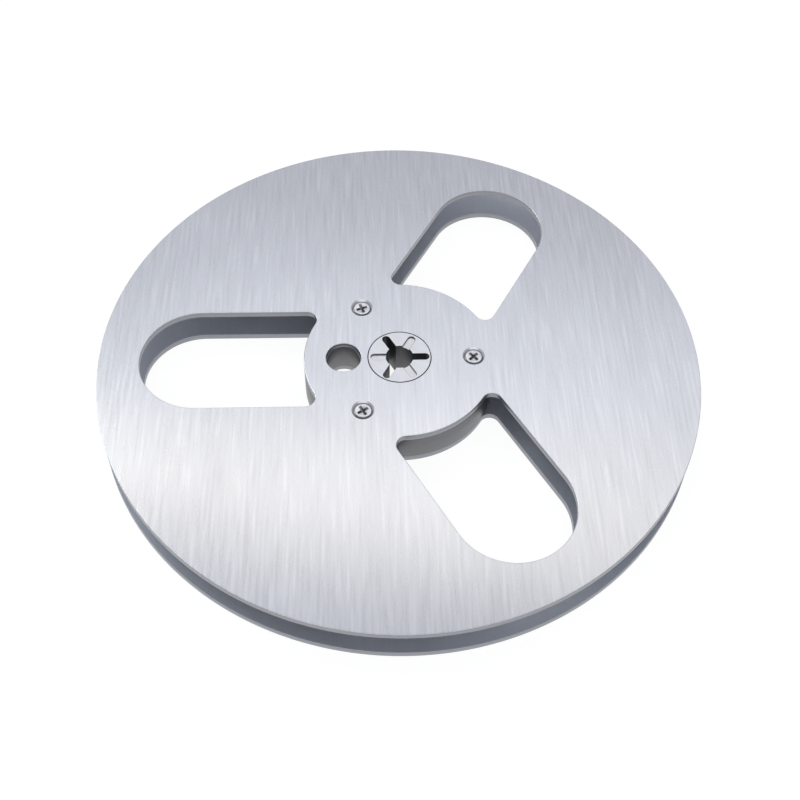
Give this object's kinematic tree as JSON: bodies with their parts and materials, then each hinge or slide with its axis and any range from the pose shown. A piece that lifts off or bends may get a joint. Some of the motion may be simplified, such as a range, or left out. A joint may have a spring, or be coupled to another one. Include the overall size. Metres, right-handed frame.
{
  "type": "open tape reel",
  "caption": "Open reel with windowed metal flanges screwed to a hub, whose bush fits a winged spindle and holds quarter-inch tape.",
  "frame": {"origin": "on the reel's axis, in the plane of the lower flange's outer face", "axes": "+Z along the reel's axis, from the lower flange to the upper one; -X towards the finger hole; +X towards a wing slot of the bush"},
  "size_m": [0.178, 0.178, 0.0127],
  "materials": {
    "brushed_aluminium": "straight-grained brushed faces, clear anodised",
    "turned_aluminium": "fine turned",
    "satin_bush": "satin",
    "plated_steel": "bright nickel plate"
  },
  "bodies": {
    "root": {"upper_flange": "brushed_aluminium", "lower_flange": "brushed_aluminium", "hub_core": "turned_aluminium", "spindle_bush": "satin_bush", "upper_screw_1": "plated_steel", "upper_screw_2": "plated_steel", "upper_screw_3": "plated_steel", "lower_screw_1": "plated_steel", "lower_screw_2": "plated_steel", "lower_screw_3": "plated_steel"}
  },
  "joints": []
}
